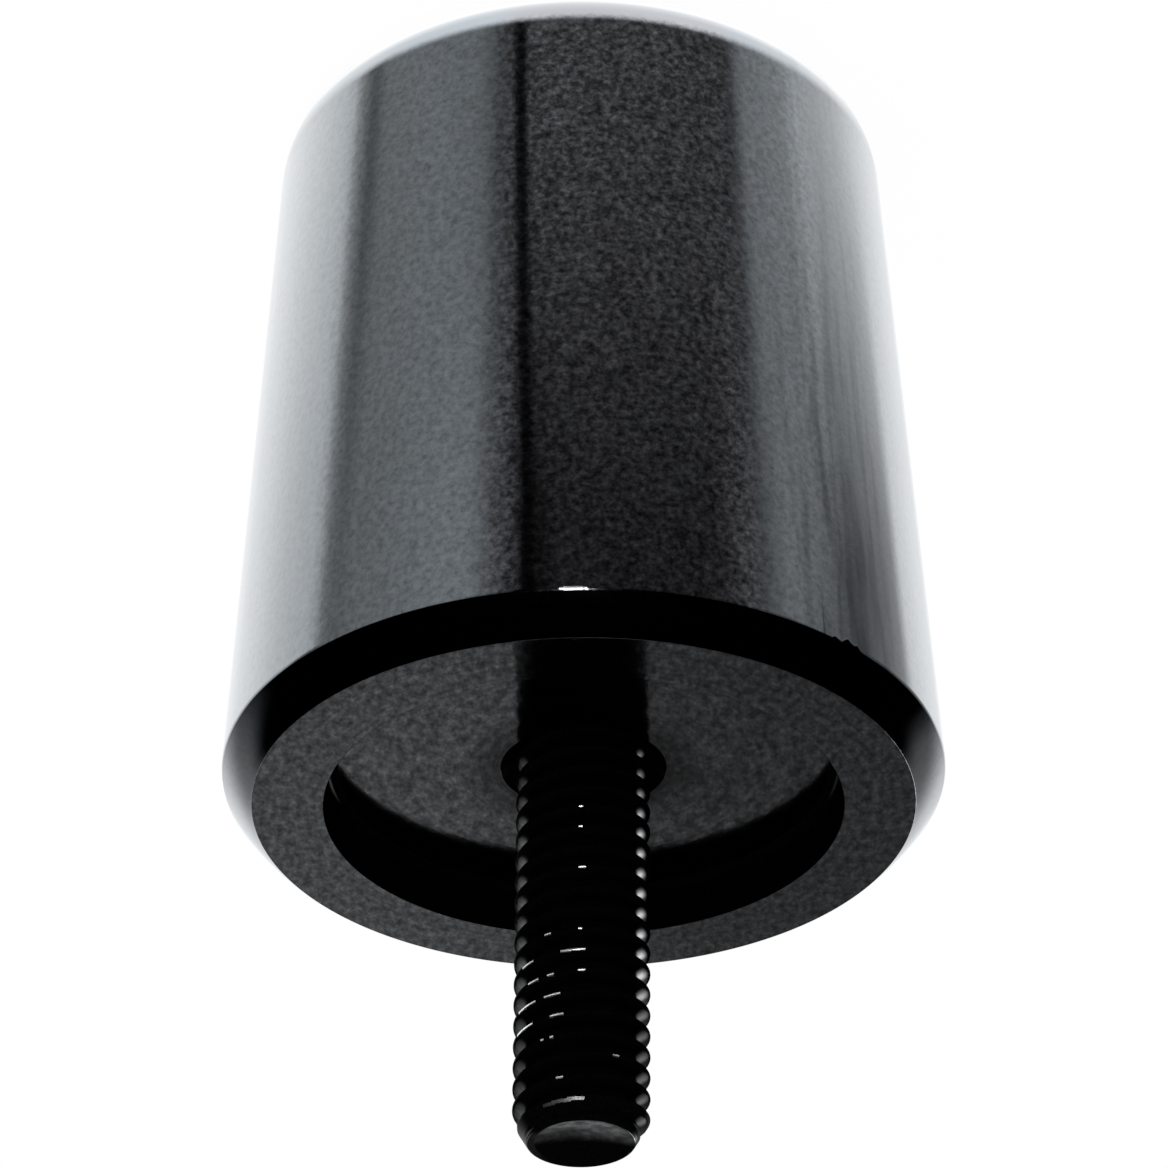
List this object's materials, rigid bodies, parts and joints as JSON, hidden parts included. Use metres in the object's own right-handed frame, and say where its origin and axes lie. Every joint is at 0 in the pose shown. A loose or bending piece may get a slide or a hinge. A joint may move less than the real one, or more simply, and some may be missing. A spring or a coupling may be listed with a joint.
{
  "type": "bar end weight",
  "caption": "Tapered gloss black metal slug with a rounded outer end, a shallow recess for a handlebar tube's end and a threaded stud that fixes it there to damp vibration.",
  "frame": {"origin": "centre of the flat outer end, on which the weight stands", "axes": "+Z along the turning axis, from the outer end towards the stud's tip"},
  "size_m": [0.0318, 0.0318, 0.0512],
  "materials": {
    "gloss_black_finish": "gloss black over turned steel",
    "black_stud_steel": "oiled black oxide on a rolled thread"
  },
  "bodies": {
    "root": {"weight_body": "gloss_black_finish", "threaded_stud": "black_stud_steel"}
  },
  "joints": []
}
